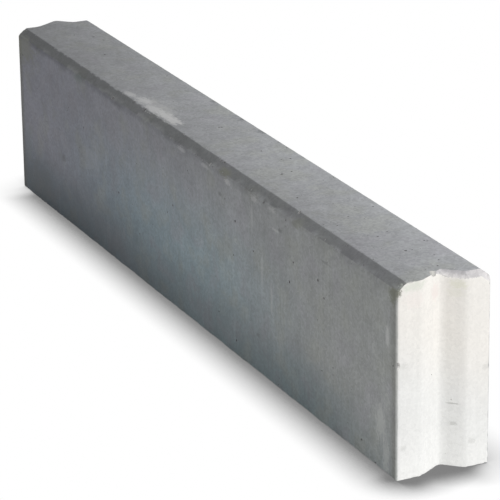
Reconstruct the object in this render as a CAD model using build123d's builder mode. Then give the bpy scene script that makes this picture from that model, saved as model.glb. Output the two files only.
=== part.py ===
"""Concrete kerb stone, cast in one piece, with a tongue on one end and a matching groove in the other.

The frame has its origin in the middle of the bed face, halfway between the two end faces.
+X runs along the kerb towards the grooved end, +Y across it and +Z up. Sizes are in millimetres.
"""

import os

from build123d import *

# Block
LAYING_LENGTH = 1000  # from end face to end face, which is what one stone adds to a run
WIDTH = 100
HEIGHT = 200

# Edges
CHAMFER_RUN = 10  # both long top edges: across the top face
CHAMFER_DROP = 8  # both long top edges: down the side face
ARRIS_RADIUS = 3  # the four upright corners, as the mould leaves them

# End joint
TONGUE_REACH = 15  # beyond the end face
TONGUE_ROOT_WIDTH = 44  # where the flanks meet the end face
TONGUE_NOSE_RADIUS = 6
TONGUE_NOSE_OFFSET = 4  # from the stone's middle plane, towards +Y
SHOULDER_RADIUS = 8  # between a flank and the end face, on the tongue and on the groove alike
JOINT_CLEARANCE = 1  # all round a tongue that is pushed home in the next stone's groove

# Plan of the tongue, pointing along -X from an end face at X = 0. Both flanks run straight from the
# end face to a round nose, so the plan is the hull of the nose's circle and the tongue's root. The
# nose lies a little off the middle plane, so one flank is steeper than the other.
with BuildSketch() as tongue_plan:
    with BuildLine():
        Line((0, -TONGUE_ROOT_WIDTH / 2), (0, TONGUE_ROOT_WIDTH / 2))
        nose_centre = (TONGUE_NOSE_RADIUS - TONGUE_REACH, TONGUE_NOSE_OFFSET)
        CenterArc(nose_centre, TONGUE_NOSE_RADIUS, 0, 360)
    make_hull()

# Plan of the groove: the tongue grown by the clearance, with the flanks carried on past the end face.
with BuildSketch() as groove_plan:
    add(tongue_plan.sketch)
    offset(amount=JOINT_CLEARANCE, kind=Kind.INTERSECTION)

with BuildPart() as kerb_stone:
    # Plan of the whole stone: the block, the tongue added at one end, the groove cut from the other.
    with BuildSketch() as stone_plan:
        Rectangle(LAYING_LENGTH, WIDTH)
        with Locations((-LAYING_LENGTH / 2, 0)):
            add(tongue_plan.sketch)
        with Locations((LAYING_LENGTH / 2, 0)):
            add(groove_plan.sketch, mode=Mode.SUBTRACT)
        # Each end face has two outer corners with two shoulders between them.
        rows = stone_plan.vertices().group_by(Axis.X)
        tongue_end = rows[1].sort_by(Axis.Y)
        groove_end = rows[-1].sort_by(Axis.Y)
        fillet(tongue_end[1:3] + groove_end[1:3], SHOULDER_RADIUS)
    extrude(amount=HEIGHT)

    # Chamfers along both long top edges, wider across the top than down the side.
    top = kerb_stone.faces().sort_by(Axis.Z)[-1]
    long_top_edges = top.edges().filter_by(Axis.X)
    chamfer(long_top_edges, CHAMFER_RUN, CHAMFER_DROP, reference=top)

    # Upright corners, between the side faces and the end faces.
    upright_edges = kerb_stone.edges().filter_by(Axis.Z)
    corners = upright_edges.sort_by(lambda edge: abs(edge.center().Y))[-4:]
    fillet(corners, ARRIS_RADIUS)

kerb_stone.part.label = "kerb_stone"

os.makedirs("parts", exist_ok=True)
export_step(kerb_stone.part, "parts/kerb_stone.step")
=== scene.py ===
# %% [markdown]
# # A concrete kerb stone
#
# A kerb stone is one lump of concrete, pressed in a steel mould and turned out the same day.
# Everything that catches the eye comes from that: flat faces, chamfers that let the stone leave the
# mould, arrises that crumble, blowholes, and a skin of cement that is paler here and darker there.
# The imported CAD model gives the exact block. This script grows a weathered copy of it in the same
# frame, in metres, and then lights and frames it.

# %% Load the frame
import math

import bpy
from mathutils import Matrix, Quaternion, Vector


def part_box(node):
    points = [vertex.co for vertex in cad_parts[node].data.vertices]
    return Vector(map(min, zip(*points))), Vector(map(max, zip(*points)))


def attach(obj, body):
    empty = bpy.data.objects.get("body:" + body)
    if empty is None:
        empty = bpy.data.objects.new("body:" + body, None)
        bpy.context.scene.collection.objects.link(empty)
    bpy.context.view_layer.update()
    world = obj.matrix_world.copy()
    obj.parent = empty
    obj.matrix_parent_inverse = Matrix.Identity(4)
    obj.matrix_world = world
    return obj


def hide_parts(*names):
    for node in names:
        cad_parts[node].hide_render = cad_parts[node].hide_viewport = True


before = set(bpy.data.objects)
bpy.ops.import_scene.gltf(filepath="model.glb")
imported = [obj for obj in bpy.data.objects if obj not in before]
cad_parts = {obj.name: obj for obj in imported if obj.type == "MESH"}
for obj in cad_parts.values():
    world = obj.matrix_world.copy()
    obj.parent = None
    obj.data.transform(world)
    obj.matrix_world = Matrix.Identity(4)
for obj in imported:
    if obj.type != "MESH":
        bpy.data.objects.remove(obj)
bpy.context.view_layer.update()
scene = bpy.context.scene

# %% [markdown]
# The frame's origin lies in the middle of the bed face, halfway between the two end faces, so the
# block's sizes can be read off the CAD node's corners: the grooved end is the +X corner, and whatever
# reaches further on the other side is the tongue.

# %% Sizes of the block
MM = 0.001

low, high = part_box("kerb_stone")
LENGTH = 2 * high.x
WIDTH = high.y - low.y
HEIGHT = high.z - low.z
TONGUE_REACH = -low.x - LENGTH / 2
print("block", round(LENGTH, 4), round(WIDTH, 4), round(HEIGHT, 4), "tongue", round(TONGUE_REACH, 4))

# %% [markdown]
# Both the shape and the finish are rules: "this much wear near an arris", "darker towards the foot".
# In Blender such a rule is a chain of nodes, and a chain of forty Math nodes is hard to read as
# forty calls. The class below wraps a node's output so that Python's own operators add the Math
# nodes. A rule can then be written as the formula that it is, in a geometry tree and a shader alike.

# %% Formulas made of nodes
class Field:
    """A node's output. Arithmetic on it adds Math nodes to the same tree."""

    def __init__(self, socket):
        self.socket = socket

    def __add__(self, other):
        return calc("ADD", self, other)

    def __radd__(self, other):
        return calc("ADD", other, self)

    def __sub__(self, other):
        return calc("SUBTRACT", self, other)

    def __rsub__(self, other):
        return calc("SUBTRACT", other, self)

    def __mul__(self, other):
        return calc("MULTIPLY", self, other)

    def __rmul__(self, other):
        return calc("MULTIPLY", other, self)

    def __truediv__(self, other):
        return calc("DIVIDE", self, other)

    def __rtruediv__(self, other):
        return calc("DIVIDE", other, self)

    def __abs__(self):
        return calc("ABSOLUTE", self)

    def __gt__(self, other):
        return calc("GREATER_THAN", self, other)

    def __lt__(self, other):
        return calc("LESS_THAN", self, other)


def feed(socket, value):
    """Links a field to an input, or sets a plain value on it."""
    if isinstance(value, Field):
        socket.id_data.links.new(value.socket, socket)
    else:
        socket.default_value = value


def add_node(tree, kind, inputs=None, **settings):
    """Adds a node with its settings, feeds its inputs by name and returns it."""
    node = tree.nodes.new(kind)
    for name, value in settings.items():
        setattr(node, name, value)
    for name, value in (inputs or {}).items():
        feed(next(s for s in node.inputs if s.name == name and s.enabled), value)
    return node


def field(tree, kind, inputs=None, output=0, **settings):
    """Adds a node and returns one of its outputs, by name or by place among those in use."""
    node = add_node(tree, kind, inputs, **settings)
    if isinstance(output, str):
        return Field(node.outputs[output])
    return Field([s for s in node.outputs if s.enabled][output])


def math_node(kind, operation, values):
    """A Math or Vector Math node in the tree of the first field among the values."""
    tree = next(v for v in values if isinstance(v, Field)).socket.id_data
    node = add_node(tree, kind, operation=operation)
    for socket, value in zip([s for s in node.inputs if s.enabled], values):
        feed(socket, value)
    return Field(next(s for s in node.outputs if s.enabled))


def calc(operation, *values):
    """One Math node."""
    return math_node("ShaderNodeMath", operation, values)


def vector_calc(operation, *values):
    """One Vector Math node."""
    return math_node("ShaderNodeVectorMath", operation, values)


# %% [markdown]
# On top of the operators a few words keep the formulas short: the smaller or the larger of two values,
# an eased ramp, the parts of a vector, and a noise whose lumps are given in metres, so that a size in
# a rule is a size on the stone.

# %% Small words for the formulas
def least(a, b):
    return calc("MINIMUM", a, b)


def most(a, b):
    return calc("MAXIMUM", a, b)


def ramp(value, start, end):
    """0 up to start and 1 from end on, with an eased slope between; start may be the larger."""
    limits = {"Value": value, "From Min": start, "From Max": end}
    tree = value.socket.id_data
    return field(tree, "ShaderNodeMapRange", limits, interpolation_type="SMOOTHSTEP")


def split(vector):
    """The three parts of a vector."""
    node = add_node(vector.socket.id_data, "ShaderNodeSeparateXYZ", {"Vector": vector})
    return [Field(s) for s in node.outputs]


def join(x, y, z):
    """A vector of three parts, of which at least one is a field."""
    tree = next(v for v in (x, y, z) if isinstance(v, Field)).socket.id_data
    return field(tree, "ShaderNodeCombineXYZ", {"X": x, "Y": y, "Z": z})


def stretch(vector, factor):
    """A vector, or a colour, times a number."""
    return vector_calc("SCALE", vector, factor)


def noise(where, size, detail=2.0, rough=0.5):
    """Smooth noise about 0.5, with lumps of about the given size in metres."""
    inputs = {"Vector": where, "Scale": 1 / size, "Detail": detail, "Roughness": rough}
    return field(where.socket.id_data, "ShaderNodeTexNoise", inputs, output="Fac")


# %% [markdown]
# ## The body
#
# The plain block could be taken from the CAD node, but its faces are a few long triangles, and wear
# needs points to move. So a Geometry Nodes tree starts from a cube of unit size that is cut into a
# grid, and one formula carries each grid point to its place on the stone. The lines crowd together
# near the arrises, where the wear is, and spread out on the flats. The tree's inputs are the sizes, so
# the same tree would make a kerb of another size.

# %% [markdown]
# The tongue is a ridge over the full height of one end, and the groove in the other end is the same
# ridge, grown by a clearance and cut in. Seen from above it has a round nose, a little off the
# stone's middle, and two straight flanks that touch the nose, one steeper than the other. The slope
# of each follows from where the ridge starts on the end face.

# %% Slopes of the tongue's flanks
NOSE_RADIUS = 6 * MM
NOSE_OFFSET = 4 * MM
ROOT_HALF_WIDTH = 22 * MM


def flank_angle(root_to_nose):
    """Slope of a line from the edge of the ridge that touches its round nose."""
    to_centre = TONGUE_REACH - NOSE_RADIUS
    line = math.hypot(to_centre, root_to_nose)
    return math.atan2(to_centre, root_to_nose) + math.asin(NOSE_RADIUS / line)


FLANKS = {
    "Flank angle -Y": flank_angle(ROOT_HALF_WIDTH + NOSE_OFFSET),
    "Flank angle +Y": flank_angle(ROOT_HALF_WIDTH - NOSE_OFFSET),
}
print("flanks", [round(math.degrees(angle), 1) for angle in FLANKS.values()], "degrees")

# %% [markdown]
# The inputs of a tree are like the knobs on a machine. Every size that a maker would quote for this
# kerb gets one, and so do the amounts of wear and the two finishes, which keeps bare numbers out of
# the shape.

# %% The body's tree and its inputs
body_tree = bpy.data.node_groups.new("kerb body", "GeometryNodeTree")
sockets = body_tree.interface
sockets.new_socket("Knocks", in_out="INPUT", socket_type="NodeSocketGeometry")
BODY_SIZES = {
    "Length": LENGTH,
    "Width": WIDTH,
    "Height": HEIGHT,
    "Chamfer run": 10 * MM,
    "Chamfer drop": 8 * MM,
    "Tongue reach": TONGUE_REACH,
    "Nose radius": NOSE_RADIUS,
    "Nose offset": NOSE_OFFSET,
    **FLANKS,
    "Joint clearance": 1 * MM,
    "Corner radius": 3 * MM,
    "Arris radius": 1.3 * MM,
    "Rubbed back": 4 * MM,
    "Rubbed down": 7.5 * MM,
    "Chips per square metre": 5000.0,
    "Blowholes per square metre": 2600.0,
}
for name in BODY_SIZES:
    sockets.new_socket(name, in_out="INPUT", socket_type="NodeSocketFloat")
for name in ("Cast skin", "Broken core"):
    sockets.new_socket(name, in_out="INPUT", socket_type="NodeSocketMaterial")
sockets.new_socket("Stone", in_out="OUTPUT", socket_type="NodeSocketGeometry")
given = {s.name: Field(s) for s in body_tree.nodes.new("NodeGroupInput").outputs if s.name}
print("body tree takes", ", ".join(given))

# %% [markdown]
# On the unit cube the coordinates run from -0.5 to 0.5. A straight line mixed with a sine gives a
# spacing that is fine at the ends and coarse in the middle. Across the stone a share of the lines
# belongs to the two chamfers, so that a line lies exactly on each of their arrises.

# %% Grid lines along, across and up
LINES = {"Vertices X": 261, "Vertices Y": 57, "Vertices Z": 53}
FLAT_SHARE = 0.75  # of the lines across the top, those between the chamfers
CROWDING = 0.88  # 0 spaces the lines evenly
CROWDING_ACROSS = 0.6

cube = field(body_tree, "GeometryNodeMeshCube", {"Size": (1, 1, 1), **LINES}, output="Mesh")
along, across, up = split(field(body_tree, "GeometryNodeInputPosition"))
half_length = given["Length"] / 2
half_width = given["Width"] / 2


def crowd_ends(share, amount):
    """Moves lines at 0 to 1 towards both ends of that span."""
    return share - amount / math.tau * calc("SINE", share * math.tau)


off_middle = abs(across) * 2
on_flat = crowd_ends(least(off_middle / FLAT_SHARE, 1), CROWDING_ACROSS)
on_chamfer = most(off_middle - FLAT_SHARE, 0) / (1 - FLAT_SHARE)
half_flat = half_width - given["Chamfer run"]
crown = given["Height"] - given["Chamfer drop"] * on_chamfer
x = given["Length"] * (crowd_ends(along + 0.5, CROWDING) - 0.5)
y = calc("SIGN", across) * (half_flat * on_flat + given["Chamfer run"] * on_chamfer)
z = crowd_ends(up + 0.5, CROWDING) * crown
print("grid lines", *LINES.values())

# %% [markdown]
# A cast arris never stays sharp. The mould rounds the upright corners, and handling wears the others,
# one stretch more than the next. A Bevel modifier would round them all alike. Here each point near an
# arris looks how deep it lies below both faces, which is a place in a small square, and the square is
# pulled onto a quarter disc. The radius may then change from place to place.

# %% Round the arrises
LEAST_ROUND = 0.45  # share of the arris radius that every stretch has
MORE_ROUND = 1.1  # share that wear adds in patches

grid_place = join(x, y, z)
patchy = ramp(noise(grid_place, 70 * MM, 3, 0.6), 0.35, 0.7)
arris_radius = given["Arris radius"] * (LEAST_ROUND + MORE_ROUND * patchy)


def rounding(depth_a, depth_b, radius):
    """How far a point moves away from two faces that meet, to lie on a round arris instead."""
    into_a = most(radius - depth_a, 0)
    into_b = most(radius - depth_b, 0)
    diagonal = calc("SQRT", into_a * into_a + into_b * into_b)
    share = 1 - most(into_a, into_b) / diagonal
    return into_a * share, into_b * share


move_x, move_y = rounding(half_length - abs(x), half_width - abs(y), given["Corner radius"])
x = x - calc("SIGN", x) * move_x
y = y - calc("SIGN", y) * move_y
move_x, move_z = rounding(half_length - abs(x), crown - z, arris_radius)
x = x - calc("SIGN", x) * move_x
z = z - move_z
move_x, move_z = rounding(half_length - abs(x), z, arris_radius)
x = x - calc("SIGN", x) * move_x
z = z + move_z
move_y, move_z = rounding(half_width - abs(y), z, arris_radius)
y = y - calc("SIGN", y) * move_y
z = z + move_z
print("least rounding", LEAST_ROUND, "of the arris radius")

# %% [markdown]
# The ridge's height is now a formula of the place across the stone: an arc up to where the flank
# leaves it, then a straight line, and a smooth maximum that eases it into the end face. Tongue and
# groove both push the grid towards -X, and the push dies away inside the block, so that the lines on
# the top fan out evenly.

# %% Tongue and groove
SHOULDER_EASE = 2.5 * MM
FAN_OUT = 90 * MM


def ridge(across_stone, reach, nose_radius):
    """How far the ridge stands out at a place across the stone."""
    off_nose = across_stone - given["Nose offset"]
    plus_side = off_nose > 0
    angle = given["Flank angle -Y"] * (1 - plus_side) + given["Flank angle +Y"] * plus_side
    on_nose = least(abs(off_nose), nose_radius * calc("SINE", angle))
    on_flank = abs(off_nose) - on_nose
    nose = reach - nose_radius + calc("SQRT", nose_radius * nose_radius - on_nose * on_nose)
    return calc("SMOOTH_MAX", nose - on_flank * calc("TANGENT", angle), 0, SHOULDER_EASE)


def groove_depth(across_stone):
    """The tongue's ridge, grown by the clearance."""
    clearance = given["Joint clearance"]
    return ridge(across_stone, given["Tongue reach"] + clearance, given["Nose radius"] + clearance)


tongue_push = ridge(y, given["Tongue reach"], given["Nose radius"]) * ramp(x + half_length, FAN_OUT, 0)
groove_push = groove_depth(y) * ramp(half_length - x, FAN_OUT, 0)
placed = join(x - tongue_push - groove_push, y, z)
print("tongue and groove fan out over", FAN_OUT, "m")

# %% [markdown]
# Later steps need to know which face of the stone they are on. The unit cube knows it best, so each
# kind of face gets its mask before the points are carried to their places. Blurred once, a mask is
# between 0 and 1 along the border of its face, and that is how the arrises are found.

# %% Masks for the kinds of face, then carry the points to their places
FACING = 0.5
ARRIS_WIDENING = 4
ARRIS_GAIN = 2.2


def store(geometry, name, value, domain="POINT"):
    """Keeps a number on the mesh under a name."""
    inputs = {"Geometry": geometry, "Name": name, "Value": value}
    kind = "GeometryNodeStoreNamedAttribute"
    return field(body_tree, kind, inputs, data_type="FLOAT", domain=domain)


def stored(name, data_type="FLOAT"):
    """Reads what was kept under a name."""
    return field(body_tree, "GeometryNodeInputNamedAttribute", {"Name": name}, data_type=data_type)


def blur(value, steps, weight=1.0, data_type="FLOAT"):
    """Evens a value out over neighbouring points."""
    inputs = {"Value": value, "Iterations": steps, "Weight": weight}
    return field(body_tree, "GeometryNodeBlurAttribute", inputs, data_type=data_type)


def move(geometry, **how):
    """Moves the points of a mesh to a Position, or by an Offset."""
    return field(body_tree, "GeometryNodeSetPosition", {"Geometry": geometry, **how})


nx, _, nz = split(field(body_tree, "GeometryNodeInputNormal"))
FACE_RULES = {
    "end_face": abs(nx) > FACING,
    "top_face": (nz > FACING) * (off_middle < FLAT_SHARE),
    "chamfer": (nz > FACING) * (off_middle > FLAT_SHARE),
    "bed_face": nz < -FACING,
}
block = cube
for name, rule in FACE_RULES.items():
    block = store(block, name, rule, domain="FACE")
soft_masks = {name: blur(stored(name), 1) for name in FACE_RULES}


def border(name):
    """1 on the border of a face mask, 0 away from it."""
    return soft_masks[name] * (1 - soft_masks[name]) * 4


arris = most(most(border("end_face"), border("chamfer")), border("bed_face"))
block = store(block, "arris", least(blur(arris, ARRIS_WIDENING) * ARRIS_GAIN, 1))
block = store(block, "chamfer_arris", border("chamfer"))
block = move(block, Position=placed)
print("masks:", ", ".join(FACE_RULES))

# %% [markdown]
# ## Wear
#
# The two arrises of a chamfer are blunt already, so a little blurring of their points is enough. One
# edge has lost more than the rest: over half of the grooved end the top edge has been rubbed down to
# a rough bevel, which reaches further down the end than back along the top. A slanting plane does
# that. Whatever stands beyond the plane is moved back onto it, and a noise shifts the plane a little
# from place to place.

# %% Blunt the chamfers and rub down half of the top edge at the grooved end
BLUNTING = 0.8
RUBBED_FROM = -9 * MM
RUBBED_FULLY_FROM = 11 * MM

position = field(body_tree, "GeometryNodeInputPosition")
px, py, pz = split(position)
worn = move(block, Position=blur(position, 3, stored("chamfer_arris") * BLUNTING, "FLOAT_VECTOR"))

chamfer_share = most(abs(py) - half_flat, 0) / given["Chamfer run"]
past_end = px - half_length + groove_depth(py)
past_top = pz - given["Height"] + given["Chamfer drop"] * chamfer_share
back = given["Rubbed back"]
down = given["Rubbed down"]
slant = calc("SQRT", back * back + down * down)
rubbed_share = ramp(py, RUBBED_FROM, RUBBED_FULLY_FROM) * (0.8 + 0.4 * noise(position, 9 * MM, 3))
beyond = most((past_end * down + past_top * back + back * down * rubbed_share) / slant, 0)
worn = store(worn, "rubbed", ramp(beyond, 0.1 * MM, 0.4 * MM))
worn = move(worn, Offset=stretch(join(down, 0, back), -1 * beyond / slant))
print("rubbed where y is over", round(RUBBED_FROM, 4), "m")

# %% [markdown]
# After that all faces get a shallow unevenness, deeper along the arrises. It goes inwards only, and
# the last step holds every point inside the CAD box, because looks never change the size.

# %% Make the faces uneven
FACE_UNEVEN = 0.3 * MM
ARRIS_UNEVEN = 1.2 * MM

normal = field(body_tree, "GeometryNodeInputNormal")
crumbled = ramp(noise(position, 6 * MM, 3, 0.6), 0.48, 0.8)
depth = FACE_UNEVEN * noise(position, 30 * MM, 3) + ARRIS_UNEVEN * stored("arris") * crumbled
worn = move(worn, Offset=stretch(normal, -1 * depth))


def held(value, lowest, highest):
    return least(most(value, lowest), highest)


inside = join(
    held(px, -1 * half_length - given["Tongue reach"], half_length),
    held(py, -1 * half_width, half_width),
    held(pz, 0, given["Height"]),
)
worn = move(worn, Position=inside)
print("faces uneven by", FACE_UNEVEN, "m, arrises by", ARRIS_UNEVEN, "m")

# %% [markdown]
# ## Chips and blowholes
#
# Chips are broken out of the arrises, blowholes are bubbles that were caught against the mould. Both
# are cut with a Boolean, because it leaves the sharp rim that the real ones have. The cutters are
# lumpy spheres of a few dozen faces, scattered over the stone with a fixed seed. They carry a mask of
# their own, so that the finish can tell a broken surface from a cast one.

# %% Lumpy cutters
def cutter(mask, lumpiness, seed):
    """A rough ball of radius 1 whose faces carry the named mask."""
    ball = field(body_tree, "GeometryNodeMeshIcoSphere", {"Radius": 1.0, "Subdivisions": 2}, output="Mesh")
    where = field(body_tree, "GeometryNodeInputPosition")
    shifted = vector_calc("ADD", where, (seed, 0, 0))
    push = stretch(where, (noise(shifted, 0.9, 2) - 0.5) * lumpiness)
    return store(move(ball, Offset=push), mask, 1.0, domain="FACE")


def chance(seed, start=0.0, end=1.0):
    """A random number for each point."""
    inputs = {"Min": start, "Max": end, "Seed": seed}
    return field(body_tree, "FunctionNodeRandomValue", inputs, data_type="FLOAT")


def any_turn(seed):
    """A random rotation for each point."""
    inputs = {"Min": (0, 0, 0), "Max": (math.tau, math.tau, math.tau), "Seed": seed}
    return field(body_tree, "FunctionNodeRandomValue", inputs, data_type="FLOAT_VECTOR")


def scatter(geometry, density, seed):
    """Points spread over a mesh."""
    inputs = {"Mesh": geometry, "Density": density, "Seed": seed}
    return field(body_tree, "GeometryNodeDistributePointsOnFaces", inputs, output="Points")


def place(points, shape, size, turn):
    """A copy of a shape on each point."""
    inputs = {"Points": points, "Instance": shape, "Scale": size, "Rotation": turn}
    return field(body_tree, "GeometryNodeInstanceOnPoints", inputs)


# %% [markdown]
# Chips follow the arrises, most of them crumbs and a few as large as a fingernail. Blowholes are most
# frequent on the top towards the grooved end, and rare on the ends. A random number raised to a power
# is mostly small and seldom large, and that is how such sizes are spread.

# %% Scatter chips along the arrises and blowholes over the faces
CHIP_SEED = 11
CHIP_LEAST = 0.9  # this and the next three are in millimetres
CHIP_MORE = 2.6
HOLE_LEAST = 0.5
HOLE_MORE = 1.1
HOLE_SEED = 23
HOLES_ANYWHERE = 0.12  # this and the next two are shares of the blowholes per square metre
HOLES_ON_TOP = 0.7
HOLES_SPARED_ON_ENDS = 0.08

chip_points = scatter(worn, given["Chips per square metre"] * ramp(stored("arris"), 0.6, 1), CHIP_SEED)
chip_size = (CHIP_LEAST + CHIP_MORE * calc("POWER", chance(1), 6)) * MM
chip_scale = join(chip_size * chance(2, 1, 2.2), chip_size, chip_size * chance(3, 0.6, 1))
chips = place(chip_points, cutter("broken", 0.9, 3.0), chip_scale, any_turn(4))

near_half = ramp(px, -200 * MM, 350 * MM)
hole_rule = HOLES_ANYWHERE + HOLES_ON_TOP * stored("top_face") * near_half
hole_rule = hole_rule - HOLES_SPARED_ON_ENDS * stored("end_face")
hole_points = scatter(worn, given["Blowholes per square metre"] * hole_rule, HOLE_SEED)
hole_size = (HOLE_LEAST + HOLE_MORE * calc("POWER", chance(5), 3)) * MM
holes = place(hole_points, cutter("pore", 0.5, 7.0), join(hole_size, hole_size, hole_size), any_turn(6))
print("chip sizes start at", CHIP_LEAST, "mm, blowholes at", HOLE_LEAST, "mm")

# %% [markdown]
# Some knocks are too large to leave to chance: they are the ones that anybody would recognise this
# stone by. They are listed, each with its place and its reach along the three axes, and become the
# points of the object that the tree starts from.

# %% Knocks with a place of their own
KNOCKS = [
    # place and reach in millimetres
    ((501, -49, 118), (3, 2.5, 5)),
    ((501, 50, 101), (3, 3, 4)),
    ((501, -36, 201), (4, 5, 2.5)),
    ((494, -14, 202), (4, 5, 3.2)),
    ((487.5, -5, 201.5), (7, 5, 6)),
]
knock_mesh = bpy.data.meshes.new("knocks")
knock_mesh.from_pydata([Vector(place_mm) * MM for place_mm, reach in KNOCKS], [], [])
reach_data = knock_mesh.attributes.new("reach", "FLOAT_VECTOR", "POINT")
for number, (place_mm, reach) in enumerate(KNOCKS):
    reach_data.data[number].vector = Vector(reach) * MM
knock_points = field(body_tree, "GeometryNodeMeshToPoints", {"Mesh": given["Knocks"]})
knocks = place(knock_points, cutter("broken", 0.9, 12.0), stored("reach", "FLOAT_VECTOR"), (0, 0, 0))
print(len(KNOCKS), "knocks placed by hand")

# %% [markdown]
# The grid's faces are slightly bent, and a cut through a bent face can leave a fold. So the faces become
# triangles, which are always flat, before the Boolean cuts them. It leaves new faces that know nothing
# of the face masks, so each corner of the cut mesh asks the uncut one for the value at the nearest
# place. Then the materials: the cast skin everywhere, and the broken core on whatever was cut or
# rubbed off.

# %% Cut, pass the masks on and set the materials
faceted = field(body_tree, "GeometryNodeTriangulate", {"Mesh": worn}, ngon_method="BEAUTY")
cut = add_node(body_tree, "GeometryNodeMeshBoolean", {"Mesh 1": faceted}, operation="DIFFERENCE")
cut.solver = "MANIFOLD"
for cutters in (chips, holes, knocks):
    feed(cut.inputs["Mesh 2"], cutters)
carved = Field(cut.outputs["Mesh"])
for name, value in {**soft_masks, "rubbed": stored("rubbed")}.items():
    nearest = {"Mesh": worn, "Value": value, "Sample Position": position}
    sampled = field(body_tree, "GeometryNodeSampleNearestSurface", nearest, data_type="FLOAT")
    carved = store(carved, name, sampled, domain="CORNER")

whole = field(body_tree, "GeometryNodeRealizeInstances", {"Geometry": carved})
skinned = field(body_tree, "GeometryNodeSetMaterial", {"Geometry": whole, "Material": given["Cast skin"]})
opened = stored("broken") + stored("pore") + stored("rubbed") > 0.5
opened_faces = {"Geometry": skinned, "Selection": opened, "Material": given["Broken core"]}
finished = field(body_tree, "GeometryNodeSetMaterial", opened_faces)
feed(body_tree.nodes.new("NodeGroupOutput").inputs["Stone"], finished)
print(len(body_tree.nodes), "nodes in the body's tree")

# %% [markdown]
# The tree runs as a modifier on an object that holds only the points of the knocks. Other programs
# know nothing of such trees, so the evaluated result is copied into a plain mesh and the start object
# is thrown away. The grid and the cutters bring along an empty material slot, which goes too. Faces are
# shaded smooth, except across edges that are steeper than a limit, which keeps the rims of chips crisp.

# %% Turn the result into a plain mesh
SMOOTH_UP_TO = math.radians(32)

cast_skin = bpy.data.materials.new("cast concrete skin")
broken_core = bpy.data.materials.new("broken concrete")


def grow(name, start_mesh, tree, values):
    """Runs a tree on a start mesh and returns the result as an object with a plain mesh."""
    start = bpy.data.objects.new(name + "_start", start_mesh)
    scene.collection.objects.link(start)
    modifier = start.modifiers.new("grow", "NODES")
    modifier.node_group = tree
    for item in tree.interface.items_tree:
        if item.name in values and item.in_out == "INPUT":
            modifier[item.identifier] = values[item.name]
    start.update_tag()
    shown = start.evaluated_get(bpy.context.evaluated_depsgraph_get())
    mesh = bpy.data.meshes.new_from_object(shown)
    mesh.name = name
    for number in reversed(range(len(mesh.materials))):
        if mesh.materials[number] is None:
            mesh.materials.pop(index=number)
    start.modifiers.remove(modifier)
    bpy.data.objects.remove(start)
    mesh.polygons.foreach_set("use_smooth", [True] * len(mesh.polygons))
    mesh.set_sharp_from_angle(angle=SMOOTH_UP_TO)
    piece = bpy.data.objects.new(name, mesh)
    scene.collection.objects.link(piece)
    return piece


finishes = {"Cast skin": cast_skin, "Broken core": broken_core}
stone = grow("weathered_kerb_stone", knock_mesh, body_tree, {**BODY_SIZES, **finishes})
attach(stone, "root")
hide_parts("kerb_stone")
stone.data.calc_loop_triangles()
print(stone.name, len(stone.data.loop_triangles), "triangles,", len(stone.data.materials), "materials")

# %% [markdown]
# ## The finish
#
# Concrete is never one grey. The mould's face, the damp of the ground, sand, lime and knocks each lay
# a pattern over it, from a metre down to a millimetre. A photograph could be wrapped round the stone,
# but it would carry its own light and stop at the edges of the picture. So each cause becomes a rule
# on the stone's own coordinates, and the rules run on over the sides that nobody has seen yet.

# %% Words for the finishes
def mask(tree, name):
    """A mask that the body's tree left on the mesh."""
    return field(tree, "ShaderNodeAttribute", output="Fac", attribute_name=name)


def tint(base, over, share):
    """One colour laid over another by a share."""
    tree = next(v for v in (share, base, over) if isinstance(v, Field)).socket.id_data
    node = add_node(tree, "ShaderNodeMix", data_type="RGBA")
    for socket, value in zip([s for s in node.inputs if s.enabled], (share, base, over)):
        feed(socket, value)
    return Field(next(s for s in node.outputs if s.enabled))


def about_one(value, amount):
    """A noise as a factor about 1."""
    return 1 + 2 * amount * (value - 0.5)


def new_group(name, inputs, outputs):
    """An empty shader group, its inputs as fields and its output node."""
    group = bpy.data.node_groups.new(name, "ShaderNodeTree")
    for direction, names in (("INPUT", inputs), ("OUTPUT", outputs)):
        for socket_name, kind in names.items():
            group.interface.new_socket(socket_name, in_out=direction, socket_type="NodeSocket" + kind)
    taken = {s.name: Field(s) for s in group.nodes.new("NodeGroupInput").outputs if s.name}
    return group, taken, group.nodes.new("NodeGroupOutput")


def use_group(tree, group, inputs):
    """Places a group in a tree and returns its outputs as fields."""
    node = add_node(tree, "ShaderNodeGroup", inputs, node_tree=group)
    return [Field(s) for s in node.outputs]


# %% [markdown]
# The cast skin and the broken core are two materials of one stone, and both show its sand and drink
# the same damp. Those two effects are shader groups, built once. Sand is a fine noise with a random
# grey for each grain on top, and the grains are the cells of a Voronoi pattern.

# %% Sand grain, as a group
grain_group, taken, result = new_group(
    "sand grain",
    {"Position": "Vector", "Grain size": "Float"},
    {"Tone": "Float", "Height": "Float"},
)
sand = noise(taken["Position"], taken["Grain size"], 4, 0.65)
cells = {"Vector": taken["Position"], "Scale": 0.6 / taken["Grain size"]}
grains = split(field(grain_group, "ShaderNodeTexVoronoi", cells, output="Color"))[0]
feed(result.inputs["Tone"], 0.6 * sand + 0.4 * grains)
feed(result.inputs["Height"], 0.7 * sand + 0.3 * grains)
print(grain_group.name, len(grain_group.nodes), "nodes")

# %% [markdown]
# Damp climbs from the ground, and the stone is made darker low down, partly by damp and partly as
# painted shade. Its front is uneven, and it fades towards the grooved end.

# %% Rising damp and painted shade, as a group
DAMP_AND_SHADE_RISE = 85 * MM

damp_and_shade_group, taken, result = new_group(
    "rising damp and painted shade",
    {"Position": "Vector", "Rise": "Float"},
    {"Damp and shade": "Float"},
)
damp_x, _, damp_z = split(taken["Position"])
front = taken["Rise"] * (0.55 + 0.9 * noise(taken["Position"], 90 * MM, 4, 0.6))
dry_end = ramp(damp_x, 280 * MM, 460 * MM)
feed(result.inputs["Damp and shade"], ramp(damp_z, front, 0.0) * (1 - 0.75 * dry_end))
print(damp_and_shade_group.name, len(damp_and_shade_group.nodes), "nodes")
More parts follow.
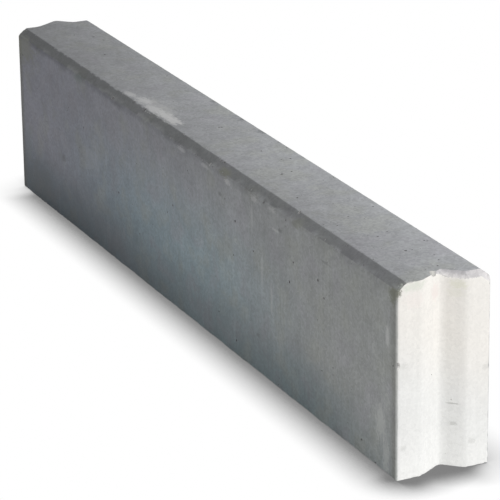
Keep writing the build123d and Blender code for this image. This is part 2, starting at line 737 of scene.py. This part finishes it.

# %% [markdown]
# ### Cast skin
#
# The skin starts as a tone for each kind of face. The steel of the mould pressed the chamfers dense
# and dark, the top has been walked on, and the ends are pale, partly with lime and partly with painted
# light: the strong light that falls on an end is part of its colour. Side, top and chamfers darken
# towards the tongue end.

# %% Tones of the faces
GROOVED_END = LENGTH / 2
CHAMFER_FOOT = HEIGHT - BODY_SIZES["Chamfer drop"]
SIDE_GREY = 0.276
TOP_GREY = 0.312
TOP_PALER_OVER = 0.3  # metres across, in which the top would turn twice as pale
CHAMFER_GREY = 0.156
# pale partly with lime and partly with painted light: the strong light on an end is in its colour
END_LIME_AND_LIGHT_GREY = 0.745
BED_GREY = 0.2

cast_skin.use_nodes = True
skin = cast_skin.node_tree
place_on_stone = field(skin, "ShaderNodeTexCoord", output="Object")
x, y, z = split(place_on_stone)
end, top, chamfer, bed = [mask(skin, name) for name in FACE_RULES]
side = 1 - least(end + top + chamfer + bed, 1)

far = ramp(x, 480 * MM, -520 * MM)
middle = ramp(abs(x + 30 * MM), 280 * MM, 40 * MM)
mid_height = ramp(abs(z - 100 * MM), 75 * MM, 0.0)
near = ramp(x, 330 * MM, 470 * MM)
side_tone = SIDE_GREY * (1 - 0.37 * far) * (1 + (0.03 + 0.04 * far) * mid_height)
side_tone = side_tone * (1 + 0.13 * middle * ramp(z, 190 * MM, 130 * MM))
top_tone = TOP_GREY * (1 - 0.32 * far * far) * (1 + y / TOP_PALER_OVER) * (1 + 0.09 * near)
chamfer_tone = CHAMFER_GREY * (1 - 0.42 * far)
# painted highlight: the groove's flank that faces the lamp is made paler
flank_highlight = ramp(y, -30 * MM, -12 * MM) * ramp(y, 6 * MM, 1 * MM)
end_lime_and_light_tone = END_LIME_AND_LIGHT_GREY + 0.08 * ramp(z, 70 * MM, 0.0) + 0.05 * flank_highlight
print("greys", SIDE_GREY, TOP_GREY, CHAMFER_GREY, END_LIME_AND_LIGHT_GREY, BED_GREY)

# %% [markdown]
# The borders between these tones aren't ruled lines. The end's pale tone, lime and painted light alike,
# comes a little way round the grooved end's upright arrises as a painted highlight where they catch the
# light, beside a darker strip that the mould's corner left. The dark of a chamfer runs down the side
# here and is rubbed off there, frayed by a noise about the size of a thumb.

# %% Frayed borders between the tones
ragged = noise(join(x * 0.6, y, z), 18 * MM, 2.5, 0.5)
from_end = GROOVED_END - abs(x)
# painted highlight: the end's pale tone laid onto the rounded upright arrises beside it
wrapped_pale_and_highlight = 0.45 * side * ramp(GROOVED_END - x, 4.8 * MM, 0.5 * MM)
end = end + wrapped_pale_and_highlight
side = side - wrapped_pale_and_highlight
corner_strip = side * ramp(from_end, 17 * MM, 5 * MM)
side_tone = side_tone * (1 - 0.22 * corner_strip)

below_chamfer = CHAMFER_FOOT - z + 16 * MM * (0.5 - ragged)
side_tone = side_tone * (1 - (0.18 + 0.27 * far) * ramp(below_chamfer, 8 * MM, -3 * MM))
rubbed_bare = ramp(z, CHAMFER_FOOT + 5 * MM, CHAMFER_FOOT) * ramp(ragged, 0.5, 0.38)
chamfer_tone = chamfer_tone * (1 + 0.5 * rubbed_bare)
tone = side * side_tone + top * top_tone + chamfer * chamfer_tone + end * end_lime_and_light_tone + bed * BED_GREY
print(len(skin.nodes), "nodes in the skin so far")

# %% [markdown]
# Fine upright lines run down the sides, where water and lime have run and the mould has dragged. A
# noise that is stretched along Z gives them. On the top a noise that is cut off high leaves short pale
# flecks, as feet and tools scratch them.

# %% Upright lines, flecks, clouds and damp
LINE_STRETCH = 0.03

upright = join(x, y, z * LINE_STRETCH)
fine_lines = noise(upright, 5 * MM, 3, 0.6)
run_places = ramp(noise(place_on_stone, 55 * MM, 2), 0.45, 0.62)
runs = ramp(noise(upright, 11 * MM, 2, 0.5), 0.6, 0.72) * run_places
flecks = ramp(noise(join(x * 0.5, y, z), 7 * MM, 3, 0.6), 0.62, 0.75)
cloud = noise(place_on_stone, 160 * MM, 3, 0.55)
mottle = noise(place_on_stone, 20 * MM, 4, 0.6)
damp_and_shade, = use_group(skin, damp_and_shade_group, {"Position": place_on_stone, "Rise": DAMP_AND_SHADE_RISE})

line_share = side * (1 - 0.75 * far) + 0.35 * end
tone = tone * about_one(fine_lines, 0.13 * line_share)
tone = tone * (1 + 0.1 * runs * side + 0.14 * flecks * top)
tone = tone * about_one(cloud, 0.16 - 0.11 * end)
tone = tone * about_one(mottle, 0.16 + 0.05 * top + 0.06 * chamfer - 0.12 * end)
# darker low down: rising damp and painted shade
tone = tone * (1 - (0.35 + 0.27 * far) * damp_and_shade * (1 - 0.8 * end))
print("lines are drawn out", round(1 / LINE_STRETCH), "times along Z")

# %% [markdown]
# The greys lean to one hue or another. The side is teal low down, where the damp and the painted shade
# lie, and bluish towards the tongue end, the lime on an end is faintly warm, and cement that has cured
# unevenly leaves patches of lilac and olive everywhere.

# %% Hues
HUES = {
    "dry": (0.965, 1.0, 0.985, 1),
    "dry, far": (0.965, 0.985, 1.13, 1),
    "damp and shade": (0.78, 1.0, 1.07, 1),
    "damp and shade, far": (0.78, 1.0, 1.19, 1),
    "corner": (0.985, 1.0, 0.94, 1),
    "top": (0.975, 1.0, 1.035, 1),
    "chamfer": (0.965, 1.0, 1.025, 1),
    "lilac": (1.0, 0.985, 1.07, 1),
    "olive": (0.99, 1.02, 0.93, 1),
    "lime": (1.0, 1.0, 0.98, 1),
    "warm lime": (1.03, 1.0, 0.95, 1),
}
hue = tint(HUES["dry"], HUES["dry, far"], far)
teal = ramp(abs(x + 40 * MM), 420 * MM, 60 * MM) * ramp(z, 185 * MM, 60 * MM)
damp_and_shade_hue = tint(HUES["damp and shade"], HUES["damp and shade, far"], far * far)
hue = tint(hue, damp_and_shade_hue, most(teal, damp_and_shade) * 0.9)
hue = tint(hue, HUES["corner"], 0.7 * corner_strip)
hue = tint(hue, HUES["top"], top)
hue = tint(hue, HUES["chamfer"], chamfer)
cured = noise(place_on_stone, 45 * MM, 3, 0.6)
hue = tint(hue, HUES["lilac"], 0.35 * ramp(cured, 0.5, 0.66))
hue = tint(hue, HUES["olive"], 0.35 * ramp(cured, 0.5, 0.34))
end_hue = tint(HUES["lime"], HUES["warm lime"], ramp(z + 0.5 * y, 60 * MM, 150 * MM))
hue = tint(hue, end_hue, end)
colour = stretch(hue, tone)
print(len(HUES), "hues")

# %% [markdown]
# Up close concrete is a crowd of grains. The sand group gives each place a tone, which speckles the
# colour here, and a height, which the relief uses further down. On an end lime covers nearly all of it.

# %% Speckle and grain
SAND_SIZE = 1.6 * MM

sand_tone, sand_height = use_group(skin, grain_group, {"Position": place_on_stone, "Grain size": SAND_SIZE})
colour = stretch(colour, about_one(sand_tone, 0.24 + 0.04 * top - 0.16 * end))
print("sand grains of", SAND_SIZE, "m")

# %% [markdown]
# Last come the marks that this stone alone has: scuffs along an arris, lime that ran down, spots of
# dirt, greenish grey and rust tinges on the end. Each is a patch about a point, and a noise frays its edge.
# They are laid like paint, with a set of brushes. A brush has a reach along each axis and measures the
# stone in fibres, a share of that reach, so a long brush has long fibres. All marks of one brush share
# its stretched position and its noise. That matters, because Cycles keeps only a few hundred numbers
# per shader, and one position for each mark would not fit.

# %% Brushes
FIBRE_SHARE = 0.3
FRAYING = 2.0
PATCH_CORE = 0.35  # share of the reach that is covered fully
BRUSHES = {
    # reach in millimetres
    "small scuff": (17, 7, 8),
    "scuff": (20, 10, 8),
    "long scuff": (24, 10, 8),
    "wide scuff": (52, 17, 8),
    "nick": (10, 8, 5),
    "flat nick": (13, 8, 3.5),
    "short run": (5, 8, 15),
    "thin run": (4, 8, 24),
    "run": (9, 8, 24),
    "wide run": (13, 8, 26),
    "line": (11, 8, 2),
    "dot": (6, 8, 3),
    "spot": (9, 8, 7),
    "band": (25, 8, 6),
    "stain": (18, 8, 7),
    "cloud": (40, 8, 22),
    "wide cloud": (60, 8, 34),
    "corner": (12, 3, 15),
    "corner tip": (6, 4, 6),
    "end wash": (12, 18, 6),
    "end stain": (12, 12, 6),
    "end cloud": (12, 14, 12),
    "groove cloud": (10, 9, 13),
    "groove spot": (12, 4, 3),
    "scratch": (14, 7, 1.2),
    "end spot": (8, 5, 4),
    "end smear": (8, 6, 4),
}
brushes = {}
for name, reach_mm in BRUSHES.items():
    in_fibres = vector_calc("DIVIDE", place_on_stone, Vector(reach_mm) * FIBRE_SHARE * MM)
    frayed = FRAYING * (noise(in_fibres, 1.0, 4, 0.7) - 0.5)
    brushes[name] = in_fibres, frayed
print(len(brushes), "brushes")

# %% [markdown]
# The marks are a list, laid over the rest in that order, so a mark can be added or taken out without
# touching a node. The sides that nobody sees at first get their share.

# %% Marks with a place of their own
MARK_COLOURS = {
    "scuff": (0.46, 0.46, 0.46, 1),
    "lime": (0.42, 0.43, 0.42, 1),
    "dirt": (0.09, 0.095, 0.095, 1),
    "olive": (0.15, 0.155, 0.12, 1),
    "teal": (0.15, 0.18, 0.18, 1),
    # a greenish grey tinge on the ends
    "green grey": (0.62, 0.65, 0.57, 1),
    "ochre": (0.66, 0.66, 0.53, 1),
    "blush": (0.8, 0.72, 0.69, 1),
    "smudge": (0.45, 0.45, 0.43, 1),
}
MARKS = [
    # colour, brush, place in millimetres, strength
    ("scuff", "small scuff", (-185, -34, 200), 0.5),
    ("scuff", "scuff", (-154, -30, 200), 0.6),
    ("scuff", "wide scuff", (-122, -26, 200), 0.35),
    ("scuff", "long scuff", (-116, -33, 200), 0.6),
    ("scuff", "long scuff", (-89, -31, 200), 0.8),
    ("scuff", "scuff", (-67, -31, 200), 0.8),
    ("scuff", "flat nick", (-4, -50, 188.5), 0.35),
    ("scuff", "flat nick", (58, -50, 187.5), 0.28),
    ("scuff", "nick", (115, -50, 187), 0.42),
    ("scuff", "nick", (182, -50, 188), 0.36),
    ("scuff", "flat nick", (224, -50, 189), 0.3),
    ("scuff", "short run", (480, -50, 141), 0.6),
    ("lime", "thin run", (176, -50, 166), 0.25),
    ("lime", "line", (233, -50, 170), 0.4),
    ("lime", "thin run", (200, -50, 116), 0.3),
    ("lime", "thin run", (222, -50, 92), 0.3),
    ("lime", "cloud", (-272, -50, 100), 0.1),
    ("lime", "wide run", (466, -50, 48), 0.55),
    ("lime", "run", (478, -50, 18), 0.45),
    ("dirt", "band", (-188, -50, 191), 0.3),
    ("dirt", "band", (-42, -50, 192), 0.3),
    ("dirt", "spot", (-358, -50, 77), 0.4),
    # this dark cloud at the far foot deepens the darkening low down, partly dirt and partly painted shade
    ("dirt", "wide cloud", (-437, -50, 22), 0.3),
    ("dirt", "dot", (96, -50, 168), 0.45),
    ("dirt", "dot", (244, -50, 173), 0.5),
    ("dirt", "line", (347, -50, 172), 0.35),
    ("dirt", "dot", (188, -50, 41), 0.4),
    ("dirt", "dot", (486, 13, 200), 0.3),
    ("dirt", "dot", (-115, 40, 200), 0.5),
    ("dirt", "dot", (-38, 40, 200), 0.5),
    ("dirt", "line", (13, 40, 200), 0.5),
    ("olive", "cloud", (-480, -50, 181), 0.5),
    ("olive", "stain", (105, -48, 194), 0.6),
    ("olive", "stain", (281, -49, 192), 0.4),
    ("olive", "corner", (492, -50, 188), 0.7),
    ("olive", "corner tip", (500, -48, 191), 0.8),
    ("teal", "stain", (-303, -50, 189), 0.4),
    ("teal", "wide run", (-473, -50, 66), 0.25),
    ("green grey", "end wash", (500, -32, 195), 0.6),
    ("ochre", "end stain", (494, 18, 187), 0.45),
    ("ochre", "end stain", (493, 15, 178), 0.2),
    ("blush", "end cloud", (500, -32, 182), 0.3),
    ("blush", "groove cloud", (488, -3, 181), 0.6),
    ("smudge", "scratch", (491, 14, 65.4), 0.75),
    ("smudge", "groove spot", (491, 15, 45), 0.5),
    ("smudge", "end spot", (500, -43, 33), 0.25),
    ("smudge", "end spot", (500, 31, 27), 0.3),
    ("smudge", "end smear", (500, -43, 117), 0.25),
    ("smudge", "end smear", (500, 45, 101), 0.3),
    ("smudge", "end cloud", (500, -46, 108), 0.08),
    # back and tongue end
    ("scuff", "flat nick", (-310, 50, 191), 0.5),
    ("scuff", "nick", (-24, 50, 188), 0.5),
    ("scuff", "flat nick", (218, 50, 190), 0.5),
    ("scuff", "nick", (392, 50, 187), 0.5),
    ("lime", "thin run", (-352, 50, 150), 0.4),
    ("lime", "thin run", (-66, 50, 122), 0.35),
    ("lime", "wide run", (440, 50, 60), 0.4),
    ("dirt", "spot", (-236, 50, 142), 0.4),
    ("dirt", "line", (286, 50, 175), 0.4),
    ("olive", "stain", (-128, 49, 192), 0.5),
    ("green grey", "end wash", (-500, 34, 8), 0.6),
    ("green grey", "end wash", (-500, -30, 195), 0.6),
    ("smudge", "end smear", (-500, -36, 118), 0.35),
    ("smudge", "end cloud", (-513, 6, 84), 0.12),
]
for kind, brush, place_mm, strength in MARKS:
    in_fibres, frayed = brushes[brush]
    centre = [p / (r * FIBRE_SHARE) for p, r in zip(place_mm, BRUSHES[brush])]
    share_of_reach = FIBRE_SHARE * vector_calc("DISTANCE", in_fibres, centre)
    patch = ramp(share_of_reach + frayed, 1.0, PATCH_CORE)
    colour = tint(colour, MARK_COLOURS[kind], strength * patch)
print(len(MARKS), "marks on the skin")

# %% [markdown]
# Dry concrete scatters light evenly. Damp and the dense chamfers shine a little, so the roughness
# follows some of the masks that the colour follows. Grains and lines are too fine for geometry and
# become a bump of half a millimetre.

# %% Cast skin: colour, roughness and relief
SKIN_ROUGHNESS = 0.82
DULL = 0.25  # half the usual specular level


def dull_surface(tree, colour, roughness, relief, strength, distance):
    """Wires colour, roughness and a fine relief to a material's shader."""
    shader = tree.nodes["Principled BSDF"]
    bump = field(tree, "ShaderNodeBump", {"Height": relief, "Strength": strength, "Distance": distance})
    inputs = {"Base Color": colour, "Roughness": roughness, "Normal": bump, "Specular IOR Level": DULL}
    for name, value in inputs.items():
        feed(shader.inputs[name], value)


roughness = SKIN_ROUGHNESS + 0.25 * (sand_height - 0.5) - 0.18 * damp_and_shade - 0.1 * chamfer
relief = sand_height + 0.25 * fine_lines * line_share + 0.5 * mottle
dull_surface(skin, colour, roughness, relief, strength=0.6, distance=0.5 * MM)
print(len(skin.nodes), "nodes in the skin")

# %% [markdown]
# ### Broken core
#
# Where the skin is gone the core shows: paler, coarser, with grit in it. Blowholes belong here too,
# but they have gathered dirt. What is broken out of an end or beside the groove is pale, partly with
# lime and partly with the painted light of the brightly lit end.

# %% Broken concrete: bare and limed
GRIT_SIZE = 2.6 * MM
BARE = (0.29, 0.29, 0.29, 1)
BARE_FAR = (0.2, 0.2, 0.205, 1)
LIMED_AND_LIT = (0.68, 0.67, 0.64, 1)

broken_core.use_nodes = True
core = broken_core.node_tree
place_in_core = field(core, "ShaderNodeTexCoord", output="Object")
core_x, core_y, core_z = split(place_in_core)
at_groove = ramp(core_x, GROOVED_END - 26 * MM, GROOVED_END - 20 * MM) * ramp(core_y, -9 * MM, -4 * MM)
# pale with lime and with the end's painted light
limed_and_lit = least(1.2 * mask(core, "end_face") + at_groove * mask(core, "top_face"), 1)
bare_colour = tint(BARE, BARE_FAR, ramp(core_x, 200 * MM, -400 * MM))
core_colour = tint(bare_colour, LIMED_AND_LIT, limed_and_lit)
print("grit of", round(GRIT_SIZE, 4), "m in the core")

# %% [markdown]
# The rubbed edge is a lilac grey of its own. It is pale at its lower rim and darker towards the top,
# partly painted shade of an edge that turns over towards the top face and partly dirt, and it is paler
# towards the groove. Near the corner of the stone it is more even.

# %% Broken concrete: the rubbed edge
BEVEL_GREY = (0.44, 0.43, 0.445, 1)
BEVEL_PALE = (0.66, 0.64, 0.635, 1)

# darker towards the top: painted shade of an edge turning over, and some dirt
paler_below_shade_and_dirt = ramp(core_z, HEIGHT - 0.5 * MM, HEIGHT - 7 * MM) + 0.25 * ramp(core_y, 14 * MM, 3 * MM)
corner_paleness = 0.55 + 0.35 * ramp(core_y, 42 * MM, 47 * MM)
at_corner = ramp(core_y, 22 * MM, 30 * MM)
bevel_paleness = least(paler_below_shade_and_dirt, 1) * (1 - at_corner) + corner_paleness * at_corner
bevel_colour = tint(BEVEL_GREY, BEVEL_PALE, bevel_paleness)
core_colour = tint(core_colour, bevel_colour, mask(core, "rubbed"))
print(len(core.nodes), "nodes in the core so far")

# %% [markdown]
# Grit speckles the core and gives it a coarser relief than the skin's. Dirt in the blowholes, and damp
# and painted shade near the foot, darken it, but less where lime and painted light make it pale.

# %% Broken concrete: grit, dirt and damp
CORE_ROUGHNESS = 0.9

core_damp_and_shade, = use_group(core, damp_and_shade_group, {"Position": place_in_core, "Rise": DAMP_AND_SHADE_RISE})
grit_tone, grit_height = use_group(core, grain_group, {"Position": place_in_core, "Grain size": GRIT_SIZE})
dirty = 1 - 0.4 * mask(core, "pore") * (1 - 0.7 * limed_and_lit)
# darker near the foot: damp and painted shade
wetted_and_shaded = 1 - 0.4 * core_damp_and_shade * (1 - limed_and_lit)
core_tone = about_one(grit_tone, 0.3) * dirty * wetted_and_shaded
core_colour = stretch(core_colour, core_tone)
core_roughness = CORE_ROUGHNESS + 0.15 * (grit_height - 0.5)
dull_surface(core, core_colour, core_roughness, grit_height, strength=0.8, distance=0.8 * MM)
print(len(core.nodes), "nodes in the core")

# %% [markdown]
# ## Stage, light and camera
#
# The stone stands on a white that has no end. Strong light on a white floor would give that, but it
# would bleach the stone too. So the camera sees the floor glow with a strength of 1, which is white,
# and to all other rays it is a plain pale floor that only throws light back.

# %% Floor
FLOOR_HALF = 12.0

floor_mesh = bpy.data.meshes.new("floor")
floor_corners = [(sx * FLOOR_HALF, sy * FLOOR_HALF, 0) for sx, sy in ((-1, -1), (1, -1), (1, 1), (-1, 1))]
floor_mesh.from_pydata(floor_corners, [], [(0, 1, 2, 3)])
floor = bpy.data.objects.new("floor", floor_mesh)
scene.collection.objects.link(floor)


def seen_directly(tree):
    """1 for what the camera sees, straight or in a reflection or through glass."""
    path = add_node(tree, "ShaderNodeLightPath")
    rays = [Field(path.outputs[name]) for name in ("Is Camera Ray", "Is Glossy Ray", "Is Transmission Ray")]
    return least(rays[0] + rays[1] + rays[2], 1)


print("floor", 2 * FLOOR_HALF, "m wide")

# %% [markdown]
# A floor that glows shows no shadow. An Ambient Occlusion node tells how much of the sky each place
# on it can see, and the glow falls where the stone hides the sky. The node's normal leans, so that
# this soft seam is widest in front of the grooved end. It is deepest off the nearest corner, and weaker
# behind the stone and off the far corner.

# %% Shadow on the floor
SHADOW_REACH = 50 * MM
SHADOW_DEPTH = 1.65
SHADOW_LEAN = -0.33
NEAR_CORNER = (516 * MM, -56 * MM, 0)
NEAR_CORNER_DEEPER = 0.6
BEHIND_WEAKER = 0.5
FAR_CORNER_WEAKER = 0.55
DARKEST = 0.22
DARKEST_EASE = 0.12

white = bpy.data.materials.new("white floor")
white.use_nodes = True
floor_tree = white.node_tree
floor_tree.nodes.clear()
lean = field(floor_tree, "ShaderNodeCombineXYZ", {"X": SHADOW_LEAN, "Y": 0.0, "Z": 1.0})
shade = {"Distance": SHADOW_REACH, "Normal": lean}
openness = field(floor_tree, "ShaderNodeAmbientOcclusion", shade, output="AO")
on_floor = field(floor_tree, "ShaderNodeTexCoord", output="Object")
floor_x, floor_y, _ = split(on_floor)
behind = ramp(floor_y, 20 * MM, 46 * MM)
near_corner = ramp(vector_calc("DISTANCE", on_floor, NEAR_CORNER), 42 * MM, 10 * MM)
far_corner = ramp(floor_x, -452 * MM, -482 * MM) * ramp(floor_y, -30 * MM, -55 * MM)
closed = (1 - openness) * (1 - BEHIND_WEAKER * behind)
closed = closed * (1 + NEAR_CORNER_DEEPER * near_corner) * (1 - FAR_CORNER_WEAKER * far_corner)
lit = calc("SMOOTH_MAX", 1 - SHADOW_DEPTH * closed, DARKEST, DARKEST_EASE)
diffuse = add_node(floor_tree, "ShaderNodeBsdfDiffuse", {"Color": (0.8, 0.8, 0.8, 1)})
glow = add_node(floor_tree, "ShaderNodeEmission", {"Color": (1, 1, 1, 1), "Strength": lit})
both = add_node(floor_tree, "ShaderNodeMixShader", {"Fac": seen_directly(floor_tree)})
feed(both.inputs[1], Field(diffuse.outputs[0]))
feed(both.inputs[2], Field(glow.outputs[0]))
add_node(floor_tree, "ShaderNodeOutputMaterial", {"Surface": Field(both.outputs[0])})
floor_mesh.materials.append(white)
print("seam of shadow", SHADOW_REACH, "m wide")

# %% [markdown]
# One large soft lamp faces the grooved end and, with the light painted into the ends' colour, makes it
# the palest of the faces. A white sky lights the others evenly, as an overcast day does. Both are at a
# plain level, at which a colour renders about as it is written.

# %% Light
AMBIENT = 0.8
LAMP_PLACE = Vector((4.0, 1.5, 2.4))
LAMP_AIM = Vector((0, 0, 0.1))
LAMP_SIZE = 2.0
LAMP_POWER = 84

world = bpy.data.worlds.new("studio")
scene.world = world
world.use_nodes = True
sky = world.node_tree.nodes["Background"]
sky.inputs["Color"].default_value = (1, 1, 1, 1)
feed(sky.inputs["Strength"], AMBIENT + (1 - AMBIENT) * seen_directly(world.node_tree))

lamp_data = bpy.data.lights.new("key", "AREA")
lamp_data.size = LAMP_SIZE
lamp_data.energy = LAMP_POWER
lamp = bpy.data.objects.new("key", lamp_data)
lamp.location = LAMP_PLACE
lamp.rotation_mode = "QUATERNION"
lamp.rotation_quaternion = (LAMP_AIM - LAMP_PLACE).to_track_quat("-Z", "Y")
scene.collection.objects.link(lamp)
print("sky", AMBIENT, "lamp", LAMP_POWER, "W")

# %% [markdown]
# The view is that of a long lens from a few metres off, in which edges that run away hardly draw
# together. Place, angles and focal length were found by laying the block's edges over those in the
# photograph.

# %% Camera
CAMERA_PLACE = Vector((2.8512, -1.2698, 1.1784))
AZIMUTH = math.radians(65.53)
ELEVATION = math.radians(19.61)
ROLL = math.radians(-0.77)
FOCAL_LENGTH = 218.6

camera_data = bpy.data.cameras.new("camera")
camera_data.lens = FOCAL_LENGTH
camera = bpy.data.objects.new("camera", camera_data)
backwards = Vector((
    math.sin(AZIMUTH) * math.cos(ELEVATION),
    -math.cos(AZIMUTH) * math.cos(ELEVATION),
    math.sin(ELEVATION),
))
camera.location = CAMERA_PLACE
camera.rotation_mode = "QUATERNION"
camera.rotation_quaternion = backwards.to_track_quat("Z", "Y") @ Quaternion((0, 0, 1), ROLL)
scene.collection.objects.link(camera)
scene.camera = camera
scene.view_settings.view_transform = "Standard"
print("camera at", [round(v, 3) for v in CAMERA_PLACE], "focal length", FOCAL_LENGTH, "mm")
